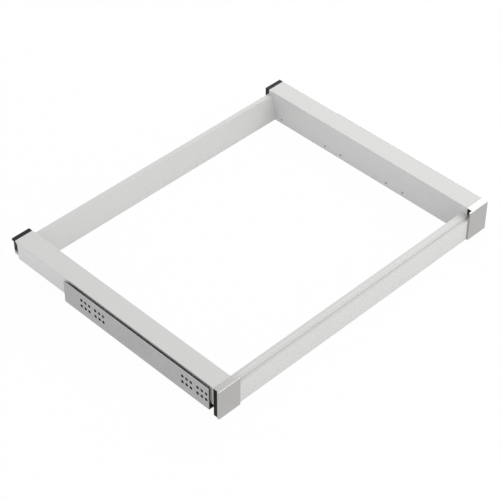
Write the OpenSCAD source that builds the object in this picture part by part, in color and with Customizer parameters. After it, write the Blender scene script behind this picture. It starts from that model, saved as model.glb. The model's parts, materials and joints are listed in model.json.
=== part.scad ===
// Pull-out frame on a pair of concealed two-stage ball runners.
// X is the width, -Y the front that is pulled, +Z up. The origin is the middle of the underside.

/* [Frame] */
// Width over the outer faces of the two side profiles
frame_w = 600; // [450:10:900]
// Depth from the front caps to the back of the rear caps
frame_d = 468; // [450:1:560]
// Height of the side profiles and caps
frame_h = 56; // [56:0.5:60]

/* [Side profile] */
// Width of the flat top of a side profile
profile_w = 34.9; // [34.5:0.1:40]
// Height of the outer lip that hangs over the runner
lip_h = 35; // [32:0.5:36]
// Wall thickness of the extrusions
wall = 1.8; // [1.6:0.1:2]
// Radius on the long outer edges of the extrusions
edge_r = 0.5; // [0.4:0.1:1.2]
// Height of the accessory holes above the underside
accessory_z = 7.5; // [7.5:0.1:8.5]
// Diameter of an accessory hole
accessory_d = 4; // [3:0.1:4.4]
// Distances of the accessory holes from the middle of the profile
accessory_from_middle = [52, 88, 192]; // [20:1:200]

/* [Front rail] */
// Depth of the front rail from its face to its back
front_rail_d = 19.4; // [18:0.1:22]
// Height of the ledge behind the top of the front rail's face
ledge_z = 39.5; // [37:0.1:40]
// Height of the upper deck above the underside
deck_z = 42; // [41:0.1:43]
// Distance from the face to the step up to the deck
step_y = 6.6; // [6:0.1:8]
// Radius of the bead that runs along the deck
bead_r = 1.2; // [0.8:0.1:1.4]

/* [Rear rail] */
// Height of the rear rail
rear_rail_h = 48.5; // [46:0.1:50]
// Depth of the flat top of the rear rail
rear_top_d = 8.5; // [8:0.1:10]
// How far the foot of the rear rail stands in front of its top edge
rear_lean = 7.4; // [5:0.1:9]
// Height of the upright foot of the rear rail
rear_foot_h = 13; // [11:0.1:16]

/* [Caps] */
// Thickness of the metal front plate
plate_t = 3.5; // [3.2:0.1:4]
// Thickness of the front plate where it laps over the front rail
lap_t = 2.9; // [2.5:0.1:3.1]
// Distance that the front plate laps over the end of the front rail
cap_lap = 7.5; // [4:0.1:10]
// Distance that the front plate stands out past the side profile
cap_proud = 1.2; // [0:0.1:2]
// Bevel along the top of the front plate
cap_bevel = 0.9; // [0.5:0.1:1.5]
// Thickness of the top flange of the front cap
flange_t = 1.2; // [1:0.1:1.5]
// Depth of the plastic insert between the front plate and the side profile
insert_d = 8.6; // [7:0.1:10]
// Depth of the rear cap
rear_cap_d = 8.5; // [7.5:0.1:10]

/* [Runner] */
// Length of the cabinet plate
runner_len = 320; // [312:1:340]
// Height of the runner from its flange to the top of the frame
runner_h = 43; // [42:0.5:43]
// Height of the left cabinet plate, which almost reaches the top of the frame
left_plate_h = 42.3; // [36:0.1:43]
// Height of the right cabinet plate, which stays behind the side profile
right_plate_h = 37.6; // [36:0.1:43]
// Gap between the cabinet plate and the outer lip
runner_gap = 5.2; // [3:0.1:6]
// Thickness of the cabinet plate
plate_sheet = 1.2; // [1:0.1:1.5]
// Thickness of the black liner on the inner face of the cabinet plate
liner_t = 1.8; // [0.8:0.1:2]
// Thickness of the rolled rails and channels
sheet = 1.5; // [1.3:0.1:1.5]
// Distance that the frame slides out
travel = 300; // [200:10:300]
// Diameter of a fixing hole at the outer face of the cabinet plate
fixing_d = 5.7; // [4:0.1:6]
// Distance between neighbouring fixing holes
fixing_pitch = 9; // [8:0.1:10]
// Distance between the two rows of fixing holes
fixing_rows = 11.7; // [10:0.1:13]
// Radius of a bearing ball
ball_r = 2.2; // [2:0.05:2.2]
// Distance between the balls of a row
ball_pitch = 18; // [16:1:18]
// Balls in a row
balls_per_row = 8; // [4:1:8]

/* [Hidden] */
$fn = 48;
cut = 1;
slip = 0.1;

// Colours of the finishes
painted = [0.84, 0.84, 0.83];
brushed = [0.72, 0.71, 0.70];
galvanised = [0.66, 0.67, 0.67];
black = [0.13, 0.13, 0.12];
steel = [0.78, 0.79, 0.80];

// Stations along the depth
front_y = -frame_d / 2;
plate_back_y = front_y + plate_t;
profile_y0 = plate_back_y + insert_d;
profile_y1 = frame_d / 2 - rear_cap_d;
profile_mid_y = (profile_y0 + profile_y1) / 2;
rear_y = frame_d / 2;
front_rail_y = front_y + lap_t + slip;

// Notch in the rear end of the outer lip, with a sloping upper end
lip_notch_d = 4.4;
lip_notch_top = frame_h - wall;

// Pegs that hold the front cap on its insert, as distance in and height
peg_r = 2.4;
peg_len = 5;
pegs = [[9, 14], [9, 42]];

// Plugs of the plastic parts in the ends of the side profile
plug_d = 8;
plug_w = 2.4;
plug_gap = 0.3;

// Screws and the round ports that they cut into
port_bore_r = 1.5;
port_r = 2.7;
screw_r = 1.45;
screw_clear_r = 1.9;
head_r = 2.9;
head_h = 2.2;
screw_bite = 14;
port_s = profile_w - wall - 2.2;
port_z_low = 3.2;
port_z_high = frame_h - wall - 3;

// Runner section, seen from the front, with s the distance in from the outer face of the profile
runner_s = 17.25;
race_r = ball_r + 0.3;
race_wall = 1.4;
ball_off = 5.9;
middle_half = 5;
channel_half = 6.8;
channel_out = channel_half + race_wall;
wing_half = 10.3;
web_gap = 0.5;
lower_race_rise = 6.1;
upper_race_drop = 6.7;
race_lip = 6.4;
middle_low_gap = 1.6;
middle_high_gap = 1.9;
runner_z0 = frame_h - runner_h;
flange_top = runner_z0 + plate_sheet;
channel_floor = flange_top + sheet;
lower_ball_z = channel_floor + lower_race_rise;
channel_lip_z = lower_ball_z + race_lip;
web_top = frame_h - wall - web_gap;
web_low = web_top - sheet;
upper_ball_z = web_low - upper_race_drop;
frame_rail_lip_z = upper_ball_z - race_lip;
middle_z0 = channel_floor + middle_low_gap;
middle_z1 = web_low - middle_high_gap;

// Stations of the runner along the depth
runner_setback = 3.1;
runner_y0 = profile_y0 + runner_setback;
runner_y1 = runner_y0 + runner_len;
buffer_d = 6;
front_rest = 0.6;
rear_rest = 5.4;
middle_y0 = runner_y0 + buffer_d + front_rest;
middle_y1 = runner_y1 - buffer_d - rear_rest;
bumper_t = 1.5;
cage_len = balls_per_row * ball_pitch - 4;
cage_t = 0.9;
cage_half = 4.3;
// Each cage runs half as far as the rails on its two sides move apart
lower_cage_rest = 5.6;
upper_cage_rest = 45;
lower_cage_y0 = runner_y0 + buffer_d + travel / 4 + lower_cage_rest;
upper_cage_y0 = middle_y0 + travel / 4 + upper_cage_rest;

// Fixing holes: two sets of three columns, 32 mm apart, and the same again 224 mm further back
fixing_first = 5.5;
fixing_groups = [for (set = [0, 224]) for (group = [0, 32]) fixing_first + set + group];
fixing_cols = [for (group = fixing_groups) for (k = [0 : 2]) group + k * fixing_pitch];
fixing_drop = 13.4;
fixing_z_high = frame_h - fixing_drop;
fixing_z_low = fixing_z_high - fixing_rows;
// Straight land of a fixing hole, and the radius that its countersink reaches at the back of the plate
fixing_land = 0.4;
sink_r = fixing_d / 2 + plate_sheet - fixing_land;

// Places of the cross screws through the inner walls, as depth and height
front_port_y = 15.5;
front_screw_y = front_rail_y + front_port_y;
front_screw_z = [12, 32];
rear_screws = [[profile_y1 - 4.6, 43], [profile_y1 - 11.5, 10.5]];

// Rivets that join the channel to the flange, and the places of the buffers' pegs
rivet_r = 2;
rivet_count = 4;
rivet_margin = 30;
rivet_ys = [for (k = [0 : rivet_count - 1])
    runner_y0 + rivet_margin + k * (runner_len - 2 * rivet_margin) / (rivet_count - 1)];
buffer_ys = [runner_y0 + buffer_d / 2, runner_y1 - buffer_d / 2];

// Tongue of the frame rail, bent down in the notch of the lip
tongue_s = 1.3;
tongue_z = 25.7;
tongue_end = rear_y - 2.5;
tongue_gap = 0.2;
tab_w = 4;

// A flat shape drawn as depth across and height up, drawn out along the width
module along_x(x0, x1) {
    translate([x0, 0, 0]) rotate([90, 0, 90]) linear_extrude(x1 - x0) children();
}

// A flat shape drawn as width across and height up, drawn out along the depth
module along_y(y0, y1) {
    translate([0, y1, 0]) rotate([90, 0, 0]) linear_extrude(y1 - y0) children();
}

// Sets a piece drawn from the outer face inwards on the left side of the frame
module on_left() {
    translate([-frame_w / 2, 0, 0]) children();
}

// The same piece mirrored on to the right side
module on_right() {
    mirror([1, 0, 0]) on_left() children();
}

module on_both() {
    on_left() children();
    on_right() children();
}

// A flat box whose upper corners are rounded
module round_top_box(w, h, r) {
    square([w, h - r]);
    translate([r, 0]) square([w - 2 * r, h]);
    for (x = [r, w - r]) translate([x, h - r]) circle(r);
}

// A pan-head screw along +X whose head seats at the origin
module cross_screw() {
    rotate([0, 90, 0]) {
        cylinder(r = screw_r, h = screw_bite);
        translate([0, 0, -head_h]) difference() {
            cylinder(r = head_r, h = head_h);
            translate([0, 0, -cut]) cylinder(r = 1.4, h = cut + 1.2, $fn = 6);
        }
    }
}

// Side profile: an inverted U with a long inner wall, a slot for the frame rail and two screw ports
module profile_section() {
    difference() {
        union() {
            difference() {
                round_top_box(profile_w, frame_h, edge_r);
                translate([wall, -cut]) square([profile_w - 2 * wall, frame_h - wall + cut]);
                translate([-cut, -cut]) square([wall + 2 * cut, frame_h - lip_h + cut]);
            }
            for (side = [-1, 1]) translate([runner_s, 0]) rail_hook(side);
            for (z = [port_z_low, port_z_high]) translate([port_s, z]) circle(port_r);
            translate([port_s, port_z_high])
                square([profile_w - wall - port_s, frame_h - wall - port_z_high]);
        }
        for (z = [port_z_low, port_z_high]) translate([port_s, z]) circle(port_bore_r);
    }
}

// Hook under the roof of the profile, with a toe under the wing of the frame rail
module rail_hook(side) {
    leg = wing_half + 0.3;
    leg_t = 1.4;
    toe_z = web_low - 2;
    toe_reach = 1.7;
    toe_t = 1.7;
    x0 = side > 0 ? leg : -leg - leg_t;
    translate([x0, toe_z]) square([leg_t, frame_h - wall - toe_z]);
    toe_x = side > 0 ? leg - toe_reach : -leg - leg_t;
    translate([toe_x, toe_z]) square([toe_reach + leg_t, toe_t]);
}

module side_profile() {
    color(painted) difference() {
        along_y(profile_y0, profile_y1) profile_section();
        along_x(-cut, wall) lip_notch_shape();
        for (d = accessory_from_middle, side = [-1, 1])
            inner_wall_hole(profile_mid_y + side * d, accessory_z, accessory_d / 2);
        for (z = front_screw_z) inner_wall_hole(front_screw_y, z, screw_clear_r);
        for (p = rear_screws) inner_wall_hole(p[0], p[1], screw_clear_r);
    }
}

// Notch in the outer lip, drawn as depth across and height up
module lip_notch_shape() {
    polygon([[profile_y1 - lip_notch_d, -cut], [profile_y1 + cut, -cut], [profile_y1 + cut, lip_notch_top],
        [profile_y1, lip_notch_top], [profile_y1 - lip_notch_d, lip_notch_top - lip_notch_d]]);
}

// A hole through the inner wall of the side profile
module inner_wall_hole(y, z, r) {
    translate([profile_w - wall - cut, y, z]) rotate([0, 90, 0]) cylinder(r = r, h = wall + 2 * cut);
}

// Front rail: a hollow box whose top steps up from a ledge to a beaded deck
module front_rail_section() {
    bead_y = step_y + 6;
    bead_sink = 0.5;
    port_web = 1.4;
    difference() {
        union() {
            round_front_box();
            translate([step_y, ledge_z - cut]) square([front_rail_d - step_y, deck_z - ledge_z + cut]);
            translate([bead_y, deck_z - bead_sink]) circle(bead_r);
        }
        difference() {
            translate([wall, wall]) square([front_rail_d - 2 * wall, ledge_z - 2 * wall]);
            for (z = front_screw_z) translate([front_port_y, z]) circle(port_r);
            for (z = front_screw_z)
                translate([front_port_y, z - port_web / 2]) square([front_rail_d, port_web]);
        }
        for (z = front_screw_z) translate([front_port_y, z]) circle(port_bore_r);
    }
}

// Outer box of the front rail, rounded along the upper and lower edges of its face
module round_front_box() {
    translate([edge_r, 0]) square([front_rail_d - edge_r, ledge_z]);
    translate([0, edge_r]) square([edge_r, ledge_z - 2 * edge_r]);
    for (z = [edge_r, ledge_z - edge_r]) translate([edge_r, z]) circle(edge_r);
}

module front_rail() {
    end_x = frame_w / 2 - profile_w;
    color(painted) translate([0, front_rail_y, 0]) along_x(-end_x, end_x) front_rail_section();
}

// Rear rail: a flat top, a leaning web and an upright foot with a short return
module rear_rail_section() {
    return_d = 6;
    top_y = profile_y1 - rear_top_d;
    foot_y = top_y - rear_lean;
    difference() {
        union() {
            polygon([[profile_y1, rear_rail_h], [top_y, rear_rail_h], [foot_y, rear_foot_h], [foot_y, 0],
                [foot_y + return_d, 0], [foot_y + return_d, wall], [foot_y + wall, wall],
                [foot_y + wall, rear_foot_h - 0.2], [top_y + wall - 0.4, rear_rail_h - wall],
                [profile_y1, rear_rail_h - wall]]);
            for (p = rear_screws) translate(p) circle(port_r);
            translate([rear_screws[0][0] - 0.7, rear_screws[0][1]])
                square([1.4, rear_rail_h - wall - rear_screws[0][1] + 0.5]);
        }
        for (p = rear_screws) translate(p) circle(port_bore_r);
    }
}

module rear_rail() {
    end_x = frame_w / 2 - profile_w;
    color(painted) along_x(-end_x, end_x) rear_rail_section();
}

// Plastic insert that closes the front end of a side profile and takes the metal cap
module front_insert() {
    top = frame_h - flange_t;
    insert_plug_z = 40;
    insert_plug_h = 13;
    groove_w = 1.2;
    groove_t = 0.5;
    groove_y = (plate_back_y + profile_y0 - groove_w) / 2;
    color(black) difference() {
        union() {
            along_y(plate_back_y, profile_y0) square([profile_w, top]);
            along_y(profile_y0 - cut, profile_y0 + plug_d)
                translate([wall + plug_gap, insert_plug_z]) square([plug_w, insert_plug_h]);
        }
        translate([-cut, groove_y, -cut]) cube([cut + groove_t, groove_w, top + 2 * cut]);
        for (z = [port_z_low, port_z_high]) translate([port_s, 0, z]) insert_screw_hole();
        for (p = pegs) translate([p[0], plate_back_y - cut, p[1]]) rotate([-90, 0, 0])
            cylinder(r = peg_r + slip, h = peg_len + 0.5 + cut);
    }
}

// Clearance hole with a counterbore, from the front of the insert
module insert_screw_hole() {
    translate([0, plate_back_y - cut, 0]) rotate([-90, 0, 0]) {
        cylinder(r = screw_clear_r, h = insert_d + 2 * cut);
        cylinder(r = head_r + 0.2, h = cut + head_h + 0.3);
    }
}

// Metal front cap: a bevelled plate, thinner where it laps over the rail, with a top flange and two pegs
module front_cap() {
    color(brushed) {
        along_x(-cap_proud, profile_w) front_plate_shape(plate_t);
        along_x(profile_w - cut, profile_w + cap_lap) front_plate_shape(lap_t);
        along_y(plate_back_y - cut, profile_y0)
            translate([0, frame_h - flange_t]) square([profile_w, flange_t]);
        for (p = pegs) translate([p[0], plate_back_y - cut, p[1]]) rotate([-90, 0, 0])
            cylinder(r = peg_r, h = peg_len + cut);
    }
}

// Front plate from the side, with its bevel at the top of the face
module front_plate_shape(t) {
    translate([front_y, 0])
        polygon([[0, 0], [t, 0], [t, frame_h], [cap_bevel, frame_h], [0, frame_h - cap_bevel]]);
}

// Rear cap: a rounded top bar, a screwed inner leg with a plug, and a skirt in the notch of the lip
module rear_cap() {
    bar_t = 4;
    bar_edge_r = 0.5;
    inner_leg_w = 6.5;
    skirt_s = 0.2;
    skirt_t = 0.9;
    rear_plug_z = 18;
    rear_plug_h = 18;
    slot_w = runner_s - wing_half + tab_w - tongue_s + 2 * tongue_gap;
    slot_h = web_top + tongue_gap - frame_h + bar_t + cut;
    color(black) difference() {
        union() {
            intersection() {
                along_y(profile_y1, rear_y) {
                    translate([0, frame_h - bar_t]) round_top_box(profile_w, bar_t, edge_r);
                    translate([profile_w - inner_leg_w, 0]) square([inner_leg_w, frame_h - edge_r]);
                }
                along_x(0, profile_w)
                    translate([profile_y1, 0]) round_top_box(rear_cap_d, frame_h, bar_edge_r);
            }
            along_x(skirt_s, skirt_s + skirt_t) skirt_shape();
            along_y(profile_y1 - plug_d, profile_y1 + cut)
                translate([profile_w - wall - plug_gap - plug_w, rear_plug_z]) square([plug_w, rear_plug_h]);
        }
        for (z = [port_z_low, port_z_high]) translate([port_s, profile_y1 - cut, z]) rotate([-90, 0, 0]) {
            cylinder(r = screw_clear_r, h = rear_cap_d + 2 * cut);
            translate([0, 0, cut + rear_cap_d - head_h]) cylinder(r = head_r + 0.2, h = head_h + cut);
        }
        translate([tongue_s - tongue_gap / 2, profile_y1 - cut, frame_h - bar_t - cut])
            cube([slot_w, tongue_end + tongue_gap - profile_y1 + cut, slot_h]);
    }
}

// Skirt of the rear cap, drawn as depth across and height up, clear of the notch
module skirt_shape() {
    skirt_z = 34;
    skirt_back = rear_y - 4;
    skirt_top = lip_notch_top - 0.3;
    skirt_front = profile_y1 - lip_notch_d + slip;
    polygon([[skirt_front, skirt_z], [skirt_back, skirt_z], [skirt_back, skirt_top],
        [profile_y1, skirt_top], [skirt_front, skirt_top - lip_notch_d + slip]]);
}

// Frame rail: a channel that opens downwards, held by its wings in the slot of the side profile
module frame_rail_section() {
    translate([runner_s, 0]) difference() {
        union() {
            translate([-wing_half, web_low]) square([2 * wing_half, sheet]);
            for (side = [-1, 1]) race_wall_shape(side, upper_ball_z, frame_rail_lip_z, web_top);
        }
        for (side = [-1, 1]) translate([side * ball_off, upper_ball_z]) circle(race_r);
    }
}

// One side wall of a channel with the outer bulge of its ball race
module race_wall_shape(side, ball_z, z0, z1) {
    x0 = side > 0 ? channel_half : -channel_out;
    translate([x0, z0]) square([race_wall, z1 - z0]);
    intersection() {
        translate([side * ball_off, ball_z]) circle(race_r + race_wall);
        translate([side > 0 ? channel_half : -channel_out - 3, ball_z - 5]) square([race_wall + 3, 10]);
    }
}

// Frame rail with the tongue that is bent down behind the end of the lip
module frame_rail() {
    wing_s = runner_s - wing_half;
    tab_y = profile_y1 + tongue_gap;
    color(galvanised) {
        along_y(profile_y0 + slip, profile_y1 - slip) frame_rail_section();
        translate([wing_s, profile_y1 - cut, web_low]) cube([tab_w, tongue_end - profile_y1 + cut, sheet]);
        translate([tongue_s, tab_y, web_low]) cube([wing_s + tab_w - tongue_s, tongue_end - tab_y, sheet]);
        along_x(tongue_s, tongue_s + sheet) tongue_shape(tab_y);
    }
}

// Tongue of the frame rail, drawn as depth across and height up, clear of the notch
module tongue_shape(tab_y) {
    tongue_front = profile_y1 - lip_notch_d + tongue_gap;
    polygon([[tongue_front, tongue_z], [tongue_end, tongue_z], [tongue_end, web_top], [tab_y, web_top],
        [tongue_front, web_top - lip_notch_d]]);
}

// Cabinet plate: the drilled wall plate and the flange that carries the channel under the lip
module cabinet_plate(height) {
    outer = -runner_gap - plate_sheet;
    color(galvanised) difference() {
        along_y(runner_y0, runner_y1) {
            translate([outer, flange_top]) square([plate_sheet, height - plate_sheet]);
            translate([outer + plate_sheet, runner_z0])
                square([runner_s + channel_out - outer - plate_sheet, plate_sheet]);
            intersection() {
                translate([outer + plate_sheet, flange_top]) circle(plate_sheet);
                translate([outer, runner_z0]) square(plate_sheet);
            }
        }
        for (y = fixing_cols, z = [fixing_z_low, fixing_z_high])
            translate([outer, runner_y0 + y, z]) rotate([0, 90, 0]) fixing_hole();
        for (y = concat(rivet_ys, buffer_ys))
            translate([runner_s, y, runner_z0 - cut]) cylinder(r = rivet_r, h = plate_sheet + 2 * cut);
    }
}

// Fixing hole whose countersink for the screw head opens towards the frame
module fixing_hole() {
    r = fixing_d / 2;
    translate([0, 0, -cut]) cylinder(r = r, h = plate_sheet + 2 * cut);
    translate([0, 0, fixing_land]) cylinder(r1 = r, r2 = sink_r + cut, h = sink_r - r + cut);
}

// Black liner on the inner face of the cabinet plate, slotted around the heads of the fixing screws
module plate_liner(height) {
    margin = 0.4;
    color(black) along_x(-runner_gap, -runner_gap + liner_t) difference() {
        translate([runner_y0, flange_top])
            square([runner_len - margin, height - plate_sheet - margin]);
        for (y = fixing_groups, z = [fixing_z_low, fixing_z_high])
            translate([runner_y0 + y, z]) head_slot();
    }
}

// Slot with round ends that clears three screw heads in a row
module head_slot() {
    r = sink_r + 0.1;
    translate([0, -r]) square([2 * fixing_pitch, 2 * r]);
    for (k = [0, 2]) translate([k * fixing_pitch, 0]) circle(r);
}

// Cabinet channel: a rolled channel that opens upwards, with a ball race in each wall
module cabinet_channel() {
    color(galvanised) difference() {
        along_y(runner_y0 + buffer_d, runner_y1 - buffer_d) translate([runner_s, 0]) difference() {
            union() {
                translate([-channel_out, flange_top]) square([2 * channel_out, sheet]);
                for (side = [-1, 1]) race_wall_shape(side, lower_ball_z, flange_top, channel_lip_z);
            }
            for (side = [-1, 1]) translate([side * ball_off, lower_ball_z]) circle(race_r);
        }
        for (y = rivet_ys)
            translate([runner_s, y, flange_top - cut]) cylinder(r = rivet_r, h = sheet + 2 * cut);
    }
}

module channel_rivets() {
    head = 3.2;
    head_t = 1;
    color(steel) on_both() for (y = rivet_ys) translate([runner_s, y, 0]) {
        translate([0, 0, runner_z0]) cylinder(r = rivet_r - 0.05, h = channel_floor - runner_z0);
        translate([0, 0, runner_z0 - head_t]) cylinder(r = head, h = head_t);
    }
}

// Plastic end piece of the channel at the front, open for the middle rail to run through
module front_buffer() {
    clear = 0.4;
    color(black) {
        along_y(runner_y0, runner_y0 + buffer_d) translate([runner_s, 0]) difference() {
            translate([-channel_out, flange_top]) square([2 * channel_out, channel_lip_z - flange_top]);
            translate([-middle_half - clear, middle_z0 - clear])
                square([2 * (middle_half + clear), channel_lip_z]);
        }
        buffer_peg(buffer_ys[0]);
    }
}

// Plastic stop block at the rear end of the channel
module rear_buffer() {
    color(black) {
        along_y(runner_y1 - buffer_d, runner_y1) translate([runner_s - channel_out, flange_top])
            round_top_box(2 * channel_out, channel_lip_z - flange_top, 2);
        buffer_peg(buffer_ys[1]);
    }
}

module buffer_peg(y) {
    translate([runner_s, y, runner_z0]) cylinder(r = rivet_r - 0.05, h = plate_sheet + 0.5);
}

// Middle rail: a hollow rolled bar with a ball race near each corner
module middle_rail_section() {
    hollow_half = 2;
    hollow_margin = 2.4;
    corner = 1;
    height = middle_z1 - middle_z0;
    translate([runner_s, 0]) difference() {
        translate([-middle_half, middle_z0]) {
            translate([0, corner]) square([2 * middle_half, height - 2 * corner]);
            translate([corner, 0]) square([2 * (middle_half - corner), height]);
            for (x = [corner, 2 * middle_half - corner], z = [corner, height - corner])
                translate([x, z]) circle(corner);
        }
        for (side = [-1, 1], z = [lower_ball_z, upper_ball_z]) translate([side * ball_off, z]) circle(race_r);
        translate([-hollow_half, middle_z0 + hollow_margin])
            square([2 * hollow_half, height - 2 * hollow_margin]);
    }
}

module middle_rail() {
    color(galvanised) along_y(middle_y0, middle_y1) middle_rail_section();
}

// Plastic bumpers plugged into both ends of the middle rail
module middle_bumpers() {
    plug_half = 1.9;
    plug_z = middle_z0 + 2.5;
    plug_h = middle_z1 - middle_z0 - 5;
    face_half = 3.2;
    color(black) {
        along_y(middle_y0, middle_y0 + plug_d) bumper_shape(plug_half, plug_z, plug_h);
        along_y(middle_y0 - bumper_t, middle_y0) bumper_shape(face_half, plug_z - 1, plug_h + 2);
        along_y(middle_y1 - plug_d, middle_y1) bumper_shape(plug_half, plug_z, plug_h);
        along_y(middle_y1, middle_y1 + bumper_t) bumper_shape(face_half, plug_z - 1, plug_h + 2);
    }
}

module bumper_shape(half, z, h) {
    translate([runner_s - half, z]) square([2 * half, h]);
}

// Ball cage: a U of thin strip with a window for each ball; flip turns the bridge to the top
module ball_cage(y0, ball_z, bridge_z, flip) {
    inner = middle_half + (channel_half - middle_half - cage_t) / 2;
    outer = inner + cage_t;
    low = flip ? ball_z - cage_half : bridge_z;
    high = flip ? bridge_z + cage_t : ball_z + cage_half;
    color(steel) difference() {
        along_y(y0, y0 + cage_len) translate([runner_s, 0]) {
            for (x = [-outer, inner]) translate([x, low]) square([cage_t, high - low]);
            translate([-outer, bridge_z]) square([2 * outer, cage_t]);
        }
        for (k = [0 : balls_per_row - 1])
            translate([runner_s - channel_out, ball_y(y0, k), ball_z]) rotate([0, 90, 0])
                cylinder(r = ball_r + 0.15, h = 2 * channel_out);
    }
}

function ball_y(y0, k) = y0 + cage_len / 2 + (k - (balls_per_row - 1) / 2) * ball_pitch;

module ball_rows(y0, ball_z) {
    color(steel) for (k = [0 : balls_per_row - 1], side = [-1, 1])
        translate([runner_s + side * ball_off, ball_y(y0, k), ball_z]) sphere(ball_r);
}

module lower_cage() {
    ball_cage(lower_cage_y0, lower_ball_z, channel_floor + 0.35, false);
}

module upper_cage() {
    ball_cage(upper_cage_y0, upper_ball_z, web_low - 0.5 - cage_t, true);
}

module lower_balls() {
    ball_rows(lower_cage_y0, lower_ball_z);
}

module upper_balls() {
    ball_rows(upper_cage_y0, upper_ball_z);
}

// Screws from the hollow of each profile into the ends of the front rail
module front_rail_screws() {
    color(steel) on_both() for (z = front_screw_z)
        translate([profile_w - wall, front_screw_y, z]) cross_screw();
}

// Screws from the hollow of each profile into the ends of the rear rail
module rear_rail_screws() {
    color(steel) on_both() for (p = rear_screws) translate([profile_w - wall, p[0], p[1]]) cross_screw();
}

// Screws through the front inserts into the ports of the profiles
module front_insert_screws() {
    color(steel) on_both() for (z = [port_z_low, port_z_high])
        translate([port_s, plate_back_y + head_h + 0.3, z]) rotate([0, 0, 90]) cross_screw();
}

// Screws through the rear caps into the ports of the profiles
module rear_cap_screws() {
    color(steel) on_both() for (z = [port_z_low, port_z_high])
        translate([port_s, rear_y - head_h, z]) rotate([0, 0, -90]) cross_screw();
}

on_left() side_profile();  // left_side_profile
on_right() side_profile();  // right_side_profile
front_rail();
rear_rail();
on_left() front_insert();  // left_front_insert
on_right() front_insert();  // right_front_insert
on_left() front_cap();  // left_front_cap
on_right() front_cap();  // right_front_cap
on_left() rear_cap();  // left_rear_cap
on_right() rear_cap();  // right_rear_cap
on_left() frame_rail();  // left_frame_rail
on_right() frame_rail();  // right_frame_rail
front_rail_screws();
rear_rail_screws();
front_insert_screws();
rear_cap_screws();
on_left() cabinet_plate(left_plate_h);  // left_cabinet_plate
on_right() cabinet_plate(right_plate_h);  // right_cabinet_plate
on_left() plate_liner(left_plate_h);  // left_plate_liner
on_right() plate_liner(right_plate_h);  // right_plate_liner
on_left() cabinet_channel();  // left_cabinet_channel
on_right() cabinet_channel();  // right_cabinet_channel
channel_rivets();
on_left() front_buffer();  // left_front_buffer
on_right() front_buffer();  // right_front_buffer
on_left() rear_buffer();  // left_rear_buffer
on_right() rear_buffer();  // right_rear_buffer
on_left() middle_rail();  // left_middle_rail
on_right() middle_rail();  // right_middle_rail
on_left() middle_bumpers();  // left_middle_bumpers
on_right() middle_bumpers();  // right_middle_bumpers
on_left() lower_cage();  // left_lower_cage
on_right() lower_cage();  // right_lower_cage
on_left() upper_cage();  // left_upper_cage
on_right() upper_cage();  // right_upper_cage
on_left() lower_balls();  // left_lower_balls
on_right() lower_balls();  // right_lower_balls
on_left() upper_balls();  // left_upper_balls
on_right() upper_balls();  // right_upper_balls
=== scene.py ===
"""Pull-out frame on concealed runners: its finishes, eased edges, fasteners and studio."""

import json
import math

import bmesh
import bpy
from bpy.props import FloatProperty, FloatVectorProperty, IntProperty, PointerProperty
from mathutils import Euler, Matrix, Vector


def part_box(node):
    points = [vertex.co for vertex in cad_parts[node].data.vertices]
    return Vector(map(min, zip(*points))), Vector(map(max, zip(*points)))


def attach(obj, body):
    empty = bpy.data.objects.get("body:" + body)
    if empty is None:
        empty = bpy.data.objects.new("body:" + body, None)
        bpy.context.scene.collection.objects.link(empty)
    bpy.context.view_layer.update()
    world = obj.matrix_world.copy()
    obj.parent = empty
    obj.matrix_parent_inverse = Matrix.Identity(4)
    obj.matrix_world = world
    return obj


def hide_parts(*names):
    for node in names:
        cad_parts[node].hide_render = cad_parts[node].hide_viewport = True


bl_info = {
    "name": "Pull-out frame",
    "version": (1, 0, 0),
    "blender": (4, 5, 0),
    "location": "View3D > Sidebar > Pull-out frame",
    "description": "Gives the packed frame its finishes, eased edges, fasteners and studio",
    "category": "Object",
}

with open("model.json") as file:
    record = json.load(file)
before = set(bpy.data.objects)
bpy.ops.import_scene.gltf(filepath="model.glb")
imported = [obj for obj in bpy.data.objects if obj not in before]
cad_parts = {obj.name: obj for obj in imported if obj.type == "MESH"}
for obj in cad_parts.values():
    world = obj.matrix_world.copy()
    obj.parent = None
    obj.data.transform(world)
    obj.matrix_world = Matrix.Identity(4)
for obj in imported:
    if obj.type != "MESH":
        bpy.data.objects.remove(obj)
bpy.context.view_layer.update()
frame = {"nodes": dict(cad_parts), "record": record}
NODES = frame["nodes"]
BODY_OF = {
    node: body
    for body, members in frame["record"]["behaviour"]["bodies"].items()
    for node in members
}
SIDES = ("left", "right")

# Edges turned by more than this angle are eased; flatter ones belong to a curved or flat face
SHARP_ANGLE = math.radians(35)
# Faces that meet at less than this angle are one flat face
FLAT_ANGLE = math.radians(0.3)
# Shading is smooth across edges up to this angle
SMOOTH_ANGLE = math.radians(50)
# Points closer than this are one point
WELD = 1e-6

# Marks to a metre in the finishes, along X, Y and Z where they are drawn out
TONE_CLOUDS = 9.0
SHEET_BLOTCHES = 25.0
PLASTIC_FLOW = 60.0
STRIP_BLOTCHES = 120.0
GREASE_FILM = 700.0
ZINC_MOTTLE = 900.0
BRUSH_LINES = (40.0, 5000.0, 5000.0)
BRUSH_SWEEPS = (12.0, 700.0, 700.0)
MILL_LINES = (2500.0, 30.0, 2500.0)
STRIP_LINES = (3500.0, 50.0, 3500.0)
HANDLING_MARKS = (300.0, 300.0, 4000.0)
# Depths below the front rail's top between which the painted highlight on its bead fades in
BEAD_FOOT = 0.0009
BEAD_CROWN = 0.0005

# Points around a fastener, six for each arm of its cross recess
AROUND = 24
# A pin's points further out than this share of its head's radius lie on the head's rim
RIM_FROM = 0.9
# A pin's points further from its seat than this share of its length lie on the shank
SHANK_FROM = 0.1
# Radius of a screw's tip as a share of the shank's, and how fast it grows towards the head
TIP_RADIUS = 0.5
TIP_GROWTH = 0.25
# A screw head's rim from its seat up: shares of the head's radius and height
HEAD_RIM = ((0.96, 0), (1, 0.06), (1, 0.36))
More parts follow.
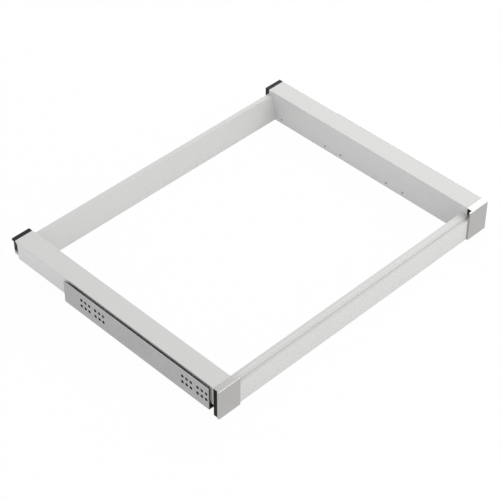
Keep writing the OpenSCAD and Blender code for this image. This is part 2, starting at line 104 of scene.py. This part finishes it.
# The head's dome above that rim: its angles in degrees, the share of the radius that it leaves
# flat, and its share of the height
HEAD_DOME = (25, 50, 72)
HEAD_FLAT = 0.62
HEAD_RISE = 0.62
# Half length and half width of the cross recess, as shares of the head's radius
CROSS_ARM = 0.54
CROSS_HALF = 0.15
# The recess's mouth and floor: share of its size, and of the head's height
CROSS_DEPTHS = ((1, 0.985), (0.72, 0.42))
# A rivet's set end: shares of the shank's radius for each loop's radius and its distance from the end
RIVET_END = ((0.4, 0.12), (0.8, 0), (1, 0.08))
# A rivet head's radius at its seat as a share of the widest, and the angles of its dome in degrees
RIVET_SEAT = 0.97
RIVET_DOME = (8, 25, 45, 65, 82)

WHITE = (1, 1, 1)
# Each soft panel: its place, the point that it faces, its width and height, and whether it is warm
PANELS = {
    "right_panel": ((1.35, 0.55, 1.12), (0.2, -0.1, 0), (0.9, 0.9), True),
    "front_panel": ((0.5, -2.6, 0.7), (0, 0, 0), (2.0, 1.2), True),
    "high_panel": ((0.6, -2.0, 1.9), (0, -0.1, 0), (1.4, 1.0), True),
    "back_panel": ((1.5, 1.9, 0.75), (0, 0, 0), (1.2, 0.6), False),
    "edge_panel": ((1.45, -1.5, 1.4), (0, -0.2, 0), (0.4, 0.4), True),
    "left_panel": ((-1.4, 0.1, 0.45), (0, 0, 0), (1.2, 0.6), False),
}
SENSOR_WIDTH = 36
VIEW_DISTANCE = 50
# Half the floor's side, its distance below the part, and its grey for light that falls on it
FLOOR_HALF = 8.0
FLOOR_DROP = 0.0004
FLOOR_GREY = (0.92, 0.92, 0.92)


class CoatSettings(bpy.types.PropertyGroup):
    """Coating of the aluminium extrusions"""

    colour: FloatVectorProperty(
        name="Coat colour", description="Light grey of the coating",
        subtype="COLOR", size=3, min=0, max=1, default=(0.655, 0.655, 0.655),
    )
    roughness: FloatProperty(
        name="Coat roughness", description="How satin the coating is",
        subtype="FACTOR", min=0, max=1, default=0.42,
    )
    grain: FloatProperty(
        name="Coat grain", description="Size of the fine grain in the coating",
        subtype="DISTANCE", unit="LENGTH", min=0.0002, max=0.01, default=0.0009,
    )
    bead_back: FloatProperty(
        name="Bead place", description="Distance from the front rail's face to its bead",
        subtype="DISTANCE", unit="LENGTH", min=0.008, max=0.018, default=0.0126,
    )
    # Width of the painted highlight along the front rail's bead
    bead_wide: FloatProperty(
        name="Bead width", description="Width of the line that is rubbed bright on the bead",
        subtype="DISTANCE", unit="LENGTH", min=0.0005, max=0.004, default=0.0024,
    )
    # Strength of the painted highlight: how much lighter the bead is painted than the coating
    rub: FloatProperty(
        name="Bead brightness", description="How much lighter the rubbed bead is than the coating",
        min=1, max=1.4, default=1.12,
    )
    ease: FloatProperty(
        name="Extrusion edge", description="Rounding of the sawn and drilled edges",
        subtype="DISTANCE", unit="LENGTH", min=0.00005, max=0.0004, default=0.0002,
    )


class MetalSettings(bpy.types.PropertyGroup):
    """Bare metal of the caps, the runners and the fasteners"""

    cap_colour: FloatVectorProperty(
        name="Cap colour", description="Warm grey of the brushed front caps",
        subtype="COLOR", size=3, min=0, max=1, default=(0.459, 0.450, 0.440),
    )
    sheet_colour: FloatVectorProperty(
        name="Sheet colour", description="Grey of the galvanised runner sheet",
        subtype="COLOR", size=3, min=0, max=1, default=(0.407, 0.408, 0.412),
    )
    zinc_colour: FloatVectorProperty(
        name="Zinc colour", description="Bluish grey of the plated screws and rivets",
        subtype="COLOR", size=3, min=0, max=1, default=(0.60, 0.62, 0.65),
    )
    ball_colour: FloatVectorProperty(
        name="Ball colour", description="Colour of the polished bearing balls",
        subtype="COLOR", size=3, min=0, max=1, default=(0.72, 0.73, 0.75),
    )
    spangle: FloatProperty(
        name="Spangle size", description="Size of the crystals in the zinc layer",
        subtype="DISTANCE", unit="LENGTH", min=0.001, max=0.05, default=0.006,
    )
    cap_ease: FloatProperty(
        name="Cap edge", description="Rounding of the front caps' edges",
        subtype="DISTANCE", unit="LENGTH", min=0.00005, max=0.0004, default=0.00025,
    )
    sheet_ease: FloatProperty(
        name="Sheet edge", description="Rounding of the punched sheet's edges",
        subtype="DISTANCE", unit="LENGTH", min=0.00005, max=0.0004, default=0.00018,
    )


class PlasticSettings(bpy.types.PropertyGroup):
    """Black plastic of the inserts, rear caps, liners, buffers and bumpers. The black liners inside
    the cabinet plates are painted shade for the slots and holes there
    """

    colour: FloatVectorProperty(
        name="Plastic colour", description="Black of the moulded parts",
        subtype="COLOR", size=3, min=0, max=1, default=(0.011, 0.011, 0.010),
    )
    grain: FloatProperty(
        name="Plastic grain", description="Size of the eroded grain in the mould",
        subtype="DISTANCE", unit="LENGTH", min=0.0001, max=0.005, default=0.0005,
    )
    ease: FloatProperty(
        name="Moulded edge", description="Rounding of the moulded edges",
        subtype="DISTANCE", unit="LENGTH", min=0.00005, max=0.0006, default=0.0003,
    )


class FastenerSettings(bpy.types.PropertyGroup):
    """Screws and rivets"""

    pitch: FloatProperty(
        name="Thread pitch", description="Distance between two turns of a screw's thread",
        subtype="DISTANCE", unit="LENGTH", min=0.0006, max=0.003, default=0.0014,
    )
    depth: FloatProperty(
        name="Thread depth", description="Depth of the thread below the shank's radius",
        subtype="DISTANCE", unit="LENGTH", min=0.0001, max=0.0006, default=0.0003,
    )
    rings: IntProperty(
        name="Rings to a turn", description="Loops along one turn of the thread",
        min=4, max=12, default=6,
    )
    spread: FloatProperty(
        name="Recess turn", description="Turn of the cross recess from one screw to the next",
        subtype="ANGLE", unit="ROTATION", min=0, max=1.6, default=0.7,
    )


class StageSettings(bpy.types.PropertyGroup):
    """Camera, floor and light"""

    camera_place: FloatVectorProperty(
        name="Camera place", description="Where the camera stands",
        subtype="TRANSLATION", unit="LENGTH", size=3, default=(-1.458845, -1.455393, 1.828135),
    )
    camera_turn: FloatVectorProperty(
        name="Camera turn", description="How the camera is turned",
        subtype="EULER", size=3, default=(0.842877, -0.002848, -0.782146),
    )
    lens: FloatProperty(
        name="Lens", description="Focal length on a sensor 36 mm wide",
        unit="CAMERA", min=10, max=500, default=123.188,
    )
    sky: FloatProperty(
        name="Room light", description="Strength of the even light from all sides",
        min=0, max=2, default=0.682,
    )
    right_panel: FloatProperty(
        name="Right panel", description="Power of the soft panel above the right side",
        subtype="POWER", unit="POWER", min=0, max=200, default=5.4,
    )
    front_panel: FloatProperty(
        name="Front panel", description="Power of the soft panel in front",
        subtype="POWER", unit="POWER", min=0, max=200, default=11.8,
    )
    high_panel: FloatProperty(
        name="High panel", description="Power of the soft panel above the front",
        subtype="POWER", unit="POWER", min=0, max=200, default=7.2,
    )
    back_panel: FloatProperty(
        name="Back panel", description="Power of the low panel behind the right rear corner",
        subtype="POWER", unit="POWER", min=0, max=200, default=7.5,
    )
    edge_panel: FloatProperty(
        name="Edge panel", description="Power of the small panel that the front caps' bevels mirror",
        subtype="POWER", unit="POWER", min=0, max=200, default=3.5,
    )
    left_panel: FloatProperty(
        name="Left panel", description="Power of the soft panel on the left",
        subtype="POWER", unit="POWER", min=0, max=200, default=2.45,
    )
    warmth: FloatVectorProperty(
        name="Panel colour", description="Colour of the right, front, high and edge panels",
        subtype="COLOR", size=3, min=0, max=1, default=(1.0, 1.0, 0.94),
    )
    floor_white: FloatProperty(
        name="Floor white", description="Share of the floor's look that is plain white",
        subtype="FACTOR", min=0, max=1, default=0.975,
    )


class Value:
    """A socket of a node tree. Arithmetic on it adds Math nodes."""

    def __init__(self, finish, socket):
        self.finish = finish
        self.socket = socket

    def math(self, operation, *terms):
        return self.finish.node("ShaderNodeMath", {"operation": operation}, dict(enumerate(terms)))

    def __add__(self, other):
        return self.math("ADD", self, other)

    def __radd__(self, other):
        return self.math("ADD", other, self)

    def __sub__(self, other):
        return self.math("SUBTRACT", self, other)

    def __rsub__(self, other):
        return self.math("SUBTRACT", other, self)

    def __mul__(self, other):
        return self.math("MULTIPLY", self, other)

    def __rmul__(self, other):
        return self.math("MULTIPLY", other, self)


class Finish:
    """Builds a node tree: every node comes from node(), and surface() feeds the shader."""

    def __init__(self, owner):
        owner.use_nodes = True
        self.owner = owner
        self.tree = owner.node_tree

    def feed(self, socket, value):
        if isinstance(value, Value):
            self.tree.links.new(value.socket, socket)
        else:
            socket.default_value = value

    def node(self, kind, settings=None, sockets=None, output=0):
        made = self.tree.nodes.new(kind)
        for key, value in (settings or {}).items():
            setattr(made, key, value)
        for key, value in (sockets or {}).items():
            self.feed(made.inputs[key], value)
        return Value(self, made.outputs[output])

    def place(self):
        """Places on the piece in metres"""
        return self.node("ShaderNodeTexCoord", output="Object")

    def stretched(self, scale):
        """Places scaled along each axis, so that a texture is drawn out"""
        return self.node(
            "ShaderNodeVectorMath", {"operation": "MULTIPLY"}, {0: self.place(), 1: scale}
        )

    def noise(self, vector, scale, detail):
        return self.node(
            "ShaderNodeTexNoise", None, {"Vector": vector, "Scale": scale, "Detail": detail}
        )

    def lines(self, scale, detail):
        """Noise drawn out along an axis"""
        return self.noise(self.stretched(scale), 1.0, detail)

    def tint(self, factor, dark, light):
        """Colour between two colours by a factor"""
        ends = [end if isinstance(end, Value) else rgba(end) for end in (dark, light)]
        return self.node(
            "ShaderNodeMix", {"data_type": "RGBA"}, {0: factor, 6: ends[0], 7: ends[1]}, output=2
        )

    def swing(self, factor, colour, low, high):
        """Colour between two strengths of one colour by a factor"""
        return self.tint(factor, scaled(colour, low), scaled(colour, high))

    def fade(self, value, start, end):
        """0 up to the start, 1 from the end on, and even between them"""
        return self.node(
            "ShaderNodeMapRange", {"clamp": True},
            {"Value": value, "From Min": start, "From Max": end},
        )

    def bump(self, height, distance, strength):
        return self.node(
            "ShaderNodeBump", None, {"Height": height, "Distance": distance, "Strength": strength}
        )

    def surface(self, **sockets):
        shader = self.tree.nodes["Principled BSDF"]
        for name, value in sockets.items():
            self.feed(shader.inputs[name.replace("_", " ")], value)
        return self.owner


def rgba(colour):
    return (*colour, 1.0)


def scaled(colour, factor):
    return tuple(min(1.0, channel * factor) for channel in colour)


def made_once(build):
    """A finish is built once, when the first piece asks for it, beside the pack's own materials"""
    name = "finish_" + build.__name__

    def finish(context):
        found = bpy.data.materials.get(name)
        if found:
            return found
        return build(context, Finish(bpy.data.materials.new(name)))

    return finish


def coating(coat, finish):
    """Colour, roughness and orange peel of the light grey coating, with faint specks and clouds"""
    place = finish.place()
    peel = finish.noise(place, 1 / coat.grain, detail=3.0)
    speck = finish.noise(place, 4 / coat.grain, detail=1.0)
    cloud = finish.noise(place, TONE_CLOUDS, detail=3.0)
    tone = 0.5 * cloud + 0.3 * peel + 0.2 * speck
    colour = finish.swing(tone, coat.colour, low=0.965, high=1.035)
    roughness = coat.roughness - 0.07 + 0.14 * peel
    return colour, roughness, finish.bump(peel, distance=0.00002, strength=0.5)


@made_once
def coated_aluminium(context, finish):
    """Coating of the side profiles and the rear rail"""
    colour, roughness, peel = coating(context.scene.pullout_coat, finish)
    return finish.surface(
        Base_Color=colour,
        Roughness=roughness,
        Specular_IOR_Level=0.5,
        Normal=peel,
    )


@made_once
def rubbed_coating(context, finish):
    """Coating of the front rail, with a painted highlight along the bead on its deck: lighter there,
    and a little smoother
    """
    coat = context.scene.pullout_coat
    colour, roughness, peel = coating(coat, finish)
    low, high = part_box("front_rail")
    depth = finish.node("ShaderNodeSeparateXYZ", None, {0: finish.place()}, "Y")
    height = finish.node("ShaderNodeSeparateXYZ", None, {0: finish.place()}, "Z")
    aside = depth - (low[1] + coat.bead_back)
    crest = finish.fade(aside.math("ABSOLUTE", aside), 0.5 * coat.bead_wide, 0.25 * coat.bead_wide)
    # Painted highlight: the coat's colour is made lighter along the bead's crest
    highlit = crest * finish.fade(height, high[2] - BEAD_FOOT, high[2] - BEAD_CROWN)
    return finish.surface(
        Base_Color=finish.tint(highlit, colour, scaled(coat.colour, coat.rub)),
        Roughness=roughness - 0.1 * highlit,
        Specular_IOR_Level=0.5,
        Normal=peel,
    )


@made_once
def brushed_metal(context, finish):
    """Satin metal with fine brush lines along the width and a warm tone"""
    metal = context.scene.pullout_metal
    lines = finish.lines(BRUSH_LINES, detail=3.0)
    sweeps = finish.lines(BRUSH_SWEEPS, detail=2.0)
    tone = 0.6 * lines + 0.4 * sweeps
    return finish.surface(
        Base_Color=finish.swing(tone, metal.cap_colour, low=0.9, high=1.1),
        Metallic=1.0,
        Roughness=0.24 + 0.12 * lines,
        Normal=finish.bump(lines, distance=0.000005, strength=0.4),
    )


@made_once
def galvanised_steel(context, finish):
    """Rolled zinc-coated sheet: crystals of slightly different grey and faint mill lines"""
    metal = context.scene.pullout_metal
    place = finish.place()
    crystal = finish.node(
        "ShaderNodeTexVoronoi", {"feature": "F1"},
        {"Vector": place, "Scale": 1 / metal.spangle}, "Color",
    )
    shade = finish.node("ShaderNodeSeparateColor", None, {0: crystal})
    rolled = finish.lines(MILL_LINES, detail=3.0)
    blotch = finish.noise(place, SHEET_BLOTCHES, detail=4.0)
    tone = 0.4 * shade + 0.3 * rolled + 0.3 * blotch
    return finish.surface(
        Base_Color=finish.swing(tone, metal.sheet_colour, low=0.88, high=1.12),
        Metallic=0.92,
        Roughness=0.36 + 0.1 * shade + 0.08 * rolled,
        Normal=finish.bump(rolled, distance=0.00001, strength=0.5),
    )


@made_once
def black_plastic(context, finish):
    """Moulded black plastic with an eroded grain and a faint flow pattern"""
    plastic = context.scene.pullout_plastic
    place = finish.place()
    grain = finish.noise(place, 1 / plastic.grain, detail=2.0)
    flow = finish.noise(place, PLASTIC_FLOW, detail=3.0)
    tone = 0.6 * grain + 0.4 * flow
    return finish.surface(
        Base_Color=finish.swing(tone, plastic.colour, low=0.7, high=1.3),
        Roughness=0.42 + 0.2 * grain,
        Specular_IOR_Level=0.18,
        Normal=finish.bump(grain, distance=0.00003, strength=0.6),
    )


@made_once
def zinc_plate(context, finish):
    """Bluish zinc plating with a soft mottle and fine handling marks"""
    metal = context.scene.pullout_metal
    mottle = finish.noise(finish.place(), ZINC_MOTTLE, detail=3.0)
    marks = finish.lines(HANDLING_MARKS, detail=2.0)
    return finish.surface(
        Base_Color=finish.swing(mottle, metal.zinc_colour, low=0.86, high=1.1),
        Metallic=1.0,
        Roughness=0.22 + 0.16 * marks,
        Normal=finish.bump(marks, distance=0.00001, strength=0.4),
    )


@made_once
def cage_strip(context, finish):
    """Pressed steel strip with lines along its length"""
    metal = context.scene.pullout_metal
    drawn = finish.lines(STRIP_LINES, detail=3.0)
    blotch = finish.noise(finish.place(), STRIP_BLOTCHES, detail=2.0)
    tone = 0.6 * drawn + 0.4 * blotch
    return finish.surface(
        Base_Color=finish.swing(tone, metal.zinc_colour, low=0.8, high=1.02),
        Metallic=1.0,
        Roughness=0.3 + 0.14 * drawn,
        Normal=finish.bump(drawn, distance=0.000012, strength=0.5),
    )


@made_once
def bearing_steel(context, finish):
    """Polished balls with a thin uneven film of grease"""
    metal = context.scene.pullout_metal
    film = finish.noise(finish.place(), GREASE_FILM, detail=3.0)
    return finish.surface(
        Base_Color=finish.swing(film, metal.ball_colour, low=0.92, high=1.05),
        Metallic=1.0,
        Roughness=0.07 + 0.12 * film,
        Coat_Weight=0.35 * film,
        Normal=finish.bump(film, distance=0.00001, strength=0.2),
    )


def dress(piece, name, finish):
    """The piece stands for a CAD node, rides on its body and takes a finish"""
    piece.data.materials.clear()
    piece.data.materials.append(finish)
    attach(piece, BODY_OF[name])
    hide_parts(name)


def new_piece(name, form):
    """An object from a mesh under construction, shaded smooth up to its sharp edges"""
    mesh = bpy.data.meshes.new(name)
    form.to_mesh(mesh)
    form.free()
    mesh.shade_smooth()
    mesh.set_sharp_from_angle(angle=SMOOTH_ANGLE)
    piece = bpy.data.objects.new(name, mesh)
    bpy.context.scene.collection.objects.link(piece)
    return piece


def eased(name, width, finish, front_covered=False):
    """A copy of a CAD node with rounded edges stands for the node. A front that another piece
    lies against keeps its sharp edges."""
    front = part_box(name)[0][1] + WELD if front_covered else -math.inf
    form = bmesh.new()
    form.from_mesh(NODES[name].data)
    bmesh.ops.remove_doubles(form, verts=form.verts, dist=WELD)
    bmesh.ops.dissolve_limit(form, angle_limit=FLAT_ANGLE, verts=form.verts, edges=form.edges)
    sharp = [
        edge for edge in form.edges
        if edge.is_manifold and edge.calc_face_angle() > SHARP_ANGLE
        and any(vert.co.y > front for vert in edge.verts)
    ]
    if not sharp:
        raise RuntimeError(f"{name} has no sharp edge to ease")
    bmesh.ops.bevel(
        form, geom=sharp, offset=width, offset_type="OFFSET", segments=2, profile=0.5,
        affect="EDGES", clamp_overlap=True,
    )
    bmesh.ops.dissolve_degenerate(form, dist=WELD, edges=form.edges)
    piece = new_piece(name + "_piece", form)
    normals = piece.modifiers.new("flat faces", "WEIGHTED_NORMAL")
    normals.keep_sharp = True
    dress(piece, name, finish)


class SideProfiles(bpy.types.Operator):
    """Coats the two side profiles and eases their sawn and drilled edges"""

    bl_idname = "pullout.side_profiles"
    bl_label = "Side profiles"

    def execute(self, context):
        for side in SIDES:
            eased(f"{side}_side_profile", context.scene.pullout_coat.ease,
                  coated_aluminium(context))
        return {"FINISHED"}


class CrossRails(bpy.types.Operator):
    """Coats the front rail and the rear rail and eases their sawn edges"""

    bl_idname = "pullout.cross_rails"
    bl_label = "Cross rails"

    def execute(self, context):
        ease = context.scene.pullout_coat.ease
        eased("front_rail", ease, rubbed_coating(context))
        eased("rear_rail", ease, coated_aluminium(context))
        return {"FINISHED"}


class FrontCaps(bpy.types.Operator):
    """Brushes the metal front caps and rounds their edges"""

    bl_idname = "pullout.front_caps"
    bl_label = "Front caps"

    def execute(self, context):
        for side in SIDES:
            eased(f"{side}_front_cap", context.scene.pullout_metal.cap_ease,
                  brushed_metal(context))
        return {"FINISHED"}


class PlasticParts(bpy.types.Operator):
    """Rounds and grains the moulded inserts, rear caps, liners, buffers and bumpers; the black plate
    liners are painted shade
    """

    bl_idname = "pullout.plastic_parts"
    bl_label = "Plastic parts"
    parts = (
        # The plate liners are black sheets inside the cabinet plates, put there as painted shade for
        # the slot beside each side profile and for the plate's holes
        "front_insert", "rear_cap", "plate_liner",
        "front_buffer", "rear_buffer", "middle_bumpers",
    )

    def execute(self, context):
        for side in SIDES:
            for part in self.parts:
                eased(f"{side}_{part}", context.scene.pullout_plastic.ease,
                      black_plastic(context),
                      front_covered=part == "front_insert")
        return {"FINISHED"}


class RunnerSheets(bpy.types.Operator):
    """Galvanises the plates, channels and rails of the runners and eases their punched edges"""

    bl_idname = "pullout.runner_sheets"
    bl_label = "Runner sheets"
    parts = ("cabinet_plate", "cabinet_channel", "middle_rail", "frame_rail")

    def execute(self, context):
        for side in SIDES:
            for part in self.parts:
                eased(f"{side}_{part}", context.scene.pullout_metal.sheet_ease,
                      galvanised_steel(context))
        return {"FINISHED"}


class Bearings(bpy.types.Operator):
    """Finishes the ball cages and the balls"""

    bl_idname = "pullout.bearings"
    bl_label = "Bearings"

    def execute(self, context):
        for side in SIDES:
            for level in ("lower", "upper"):
                eased(f"{side}_{level}_cage", context.scene.pullout_metal.sheet_ease,
                      cage_strip(context))
                balls = NODES[f"{side}_{level}_balls"]
                balls.data.materials.clear()
                balls.data.materials.append(bearing_steel(context))
        return {"FINISHED"}


def islands(node):
    """The separate solids of a CAD node, each as a list of points"""
    form = bmesh.new()
    form.from_mesh(node.data)
    bmesh.ops.remove_doubles(form, verts=form.verts, dist=WELD)
    found = []
    for start in form.verts:
        if start.tag:
            continue
        start.tag = True
        waiting, points = [start], []
        while waiting:
            vert = waiting.pop()
            points.append(vert.co.copy())
            for edge in vert.link_edges:
                other = edge.other_vert(vert)
                if not other.tag:
                    other.tag = True
                    waiting.append(other)
        found.append(points)
    form.free()
    return found


class Pin:
    """Sizes of a headed pin in the CAD, and where its seat lies. Its axis is picked by max where
    the pin is longer than its head is wide, and by min where it is shorter."""

    def __init__(self, points, along):
        low = [min(p[k] for p in points) for k in range(3)]
        high = [max(p[k] for p in points) for k in range(3)]
        middle = Vector([(a + b) / 2 for a, b in zip(low, high)])
        axis = along(range(3), key=lambda k: high[k] - low[k])

        def radius(point):
            off = point - middle
            off[axis] = 0
            return off.length

        self.head_r = max(map(radius, points))
        head = [p[axis] for p in points if radius(p) > RIM_FROM * self.head_r]
        upright = (min(head) + max(head)) / 2 < middle[axis]
        way = 1 if upright else -1
        seat = max(head) if upright else min(head)
        self.head_h = max(head) - min(head)
        self.length = abs((high if upright else low)[axis] - seat)
        shank = [p for p in points if (p[axis] - seat) * way > SHANK_FROM * self.length]
        self.shank_r = max(map(radius, shank))
        middle[axis] = seat
        ahead = Vector((0, 0, 0))
        ahead[axis] = way
        self.place = Matrix.Translation(middle) @ ahead.to_track_quat("Z", "Y").to_matrix().to_4x4()


def ring(radius, height):
    """A round loop at a height beyond the seat; heights in the head are below 0"""
    turns = [math.tau * i / AROUND for i in range(AROUND)]
    return [Vector((radius * math.cos(turn), radius * math.sin(turn), height)) for turn in turns]


def skin(form, loops, place):
    """Faces between neighbouring loops, closed at both ends"""
    rows = [[form.verts.new(place @ point) for point in loop] for loop in loops]
    for row, following in zip(rows, rows[1:]):
        for i in range(len(row)):
            j = (i + 1) % len(row)
            form.faces.new((row[i], row[j], following[j], following[i]))
    form.faces.new(rows[0][::-1])
    form.faces.new(rows[-1])


def thread(pin, fasteners):
    """Loops of a threaded shank from its blunt tip to the seat"""
    rounds = fasteners.rings * round(pin.length / fasteners.pitch)
    loops = []
    for k in range(rounds + 1):
        height = pin.length * (1 - k / rounds)
        taper = min(1.0, TIP_RADIUS + TIP_GROWTH * (pin.length - height) / pin.shank_r)
        loop = ring(1.0, height)
        for i, point in enumerate(loop):
            phase = (height / fasteners.pitch - i / AROUND) % 1
            radius = taper * (pin.shank_r - fasteners.depth * abs(2 * phase - 1))
            point.x *= radius
            point.y *= radius
        loops.append(loop)
    return loops


def cross(pin, size, height):
    """A loop in the outline of a cross recess, with as many points as a ring"""
    arm = CROSS_ARM * pin.head_r * size
    half = CROSS_HALF * pin.head_r * size
    mid = (arm + half) / 2
    quarter = [(arm, 0), (arm, half), (mid, half), (half, half), (half, mid), (half, arm)]
    loop = []
    for turn in range(4):
        spin = Matrix.Rotation(math.pi / 2 * turn, 3, "Z")
        loop += [spin @ Vector((x, y, height)) for x, y in quarter]
    return loop


def pan_head(pin):
    """Loops of a domed head from its seat to the floor of its cross recess"""
    loops = [ring(wide * pin.head_r, -high * pin.head_h) for wide, high in HEAD_RIM]
    rim_top = HEAD_RIM[-1][1]
    for angle in HEAD_DOME:
        turn = math.radians(angle)
        wide = HEAD_FLAT + (1 - HEAD_FLAT) * math.cos(turn)
        loops.append(ring(wide * pin.head_r, -pin.head_h * (rim_top + HEAD_RISE * math.sin(turn))))
    loops += [cross(pin, size, -high * pin.head_h) for size, high in CROSS_DEPTHS]
    return loops


def rivet(pin):
    """Loops of a rivet from its set end to the top of its domed head"""
    loops = [ring(wide * pin.shank_r, pin.length - back * pin.shank_r) for wide, back in RIVET_END]
    loops += [ring(pin.shank_r, 0), ring(RIVET_SEAT * pin.head_r, 0)]
    turns = [math.radians(angle) for angle in RIVET_DOME]
    for turn in turns:
        rise = math.sin(turn) / math.sin(turns[-1])
        loops.append(ring(pin.head_r * math.cos(turn), -pin.head_h * rise))
    return loops


class Fasteners(bpy.types.Operator):
    """Turns the screws with their threads and cross recesses, and the domed rivets"""

    bl_idname = "pullout.fasteners"
    bl_label = "Fasteners"
    screws = ("front_rail_screws", "rear_rail_screws", "front_insert_screws", "rear_cap_screws")

    def execute(self, context):
        fasteners = context.scene.pullout_fasteners
        for name in self.screws:
            form = bmesh.new()
            for k, points in enumerate(islands(NODES[name])):
                pin = Pin(points, max)
                spin = Matrix.Rotation(fasteners.spread * k, 4, "Z")
                skin(form, thread(pin, fasteners) + pan_head(pin), pin.place @ spin)
            self.finish(context, name, form)
        form = bmesh.new()
        for points in islands(NODES["channel_rivets"]):
            pin = Pin(points, min)
            skin(form, rivet(pin), pin.place)
        self.finish(context, "channel_rivets", form)
        return {"FINISHED"}

    def finish(self, context, name, form):
        bmesh.ops.recalc_face_normals(form, faces=form.faces)
        dress(new_piece(name + "_piece", form), name, zinc_plate(context))


def soft_panel(name, place, target, size, power, colour):
    """A soft rectangular lamp that faces a point and isn't seen by the camera"""
    lamp = bpy.data.lights.new(name, "AREA")
    lamp.shape = "RECTANGLE"
    lamp.size, lamp.size_y = size
    lamp.energy = power
    lamp.color = colour
    panel = bpy.data.objects.new(name, lamp)
    panel.location = place
    panel.rotation_mode = "QUATERNION"
    panel.rotation_quaternion = (Vector(target) - Vector(place)).to_track_quat("-Z", "Y")
    panel.visible_camera = False
    bpy.context.scene.collection.objects.link(panel)


def seen_directly(finish):
    """1 on rays from the camera, a mirror or glass, and 0 on light that falls on something"""
    camera = finish.node("ShaderNodeLightPath", output="Is Camera Ray")
    glossy = finish.node("ShaderNodeLightPath", output="Is Glossy Ray")
    through = finish.node("ShaderNodeLightPath", output="Is Transmission Ray")
    return camera.math("MAXIMUM", camera.math("MAXIMUM", camera, glossy), through)


class Stage(bpy.types.Operator):
    """Sets up the camera, the white floor, the even room light and six soft panels"""

    bl_idname = "pullout.stage"
    bl_label = "Stage"

    def execute(self, context):
        scene = context.scene
        stage = scene.pullout_stage
        scene.view_settings.view_transform = "Standard"
        self.camera(scene, stage)
        self.room(scene, stage)
        self.floor(scene, stage)
        for name, (place, target, size, warm) in PANELS.items():
            colour = stage.warmth if warm else WHITE
            soft_panel(name, place, target, size, getattr(stage, name), colour)
        return {"FINISHED"}

    def camera(self, scene, stage):
        data = bpy.data.cameras.new("camera")
        data.lens = stage.lens
        data.sensor_width = SENSOR_WIDTH
        data.clip_end = VIEW_DISTANCE
        camera = bpy.data.objects.new("camera", data)
        camera.location = stage.camera_place
        camera.rotation_euler = Euler(stage.camera_turn, "XYZ")
        scene.collection.objects.link(camera)
        scene.camera = camera

    def room(self, scene, stage):
        world = bpy.data.worlds.new("room")
        scene.world = world
        finish = Finish(world)
        seen = seen_directly(finish)
        strength = seen + (1 - seen) * stage.sky
        background = finish.tree.nodes["Background"]
        finish.feed(background.inputs["Color"], rgba(WHITE))
        finish.feed(background.inputs["Strength"], strength)

    def floor(self, scene, stage):
        form = bmesh.new()
        bmesh.ops.create_grid(form, x_segments=1, y_segments=1, size=FLOOR_HALF)
        mesh = bpy.data.meshes.new("floor")
        form.to_mesh(mesh)
        form.free()
        floor = bpy.data.objects.new("floor", mesh)
        floor.location.z = -FLOOR_DROP
        scene.collection.objects.link(floor)
        finish = Finish(bpy.data.materials.new("white_floor"))
        glow = finish.node("ShaderNodeEmission", None, {"Color": rgba(WHITE), "Strength": 1.0})
        matt = finish.node("ShaderNodeBsdfDiffuse", None, {"Color": rgba(FLOOR_GREY)})
        share = seen_directly(finish) * stage.floor_white
        both = finish.node("ShaderNodeMixShader", None, {0: share, 1: matt, 2: glow})
        finish.feed(finish.tree.nodes["Material Output"].inputs["Surface"], both)
        mesh.materials.append(finish.owner)


SETTINGS = {
    "pullout_coat": CoatSettings,
    "pullout_metal": MetalSettings,
    "pullout_plastic": PlasticSettings,
    "pullout_fasteners": FastenerSettings,
    "pullout_stage": StageSettings,
}
OPERATORS = (
    SideProfiles, CrossRails, FrontCaps, PlasticParts,
    RunnerSheets, Bearings, Fasteners, Stage,
)


class FramePanel(bpy.types.Panel):
    """Lists the pieces of the pull-out frame"""

    bl_idname = "VIEW3D_PT_pullout_frame"
    bl_label = "Pull-out frame"
    bl_space_type = "VIEW_3D"
    bl_region_type = "UI"
    bl_category = "Pull-out frame"

    def draw(self, context):
        for operator in OPERATORS:
            self.layout.operator(operator.bl_idname)


def register():
    for name, group in SETTINGS.items():
        bpy.utils.register_class(group)
        setattr(bpy.types.Scene, name, PointerProperty(type=group))
    for operator in OPERATORS:
        bpy.utils.register_class(operator)
    bpy.utils.register_class(FramePanel)


def unregister():
    bpy.utils.unregister_class(FramePanel)
    for operator in reversed(OPERATORS):
        bpy.utils.unregister_class(operator)
    for name, group in reversed(SETTINGS.items()):
        delattr(bpy.types.Scene, name)
        bpy.utils.unregister_class(group)


def main():
    register()
    bpy.ops.pullout.side_profiles()
    bpy.ops.pullout.cross_rails()
    bpy.ops.pullout.front_caps()
    bpy.ops.pullout.plastic_parts()
    bpy.ops.pullout.runner_sheets()
    bpy.ops.pullout.bearings()
    bpy.ops.pullout.fasteners()
    bpy.ops.pullout.stage()


if __name__ == "__main__":
    main()
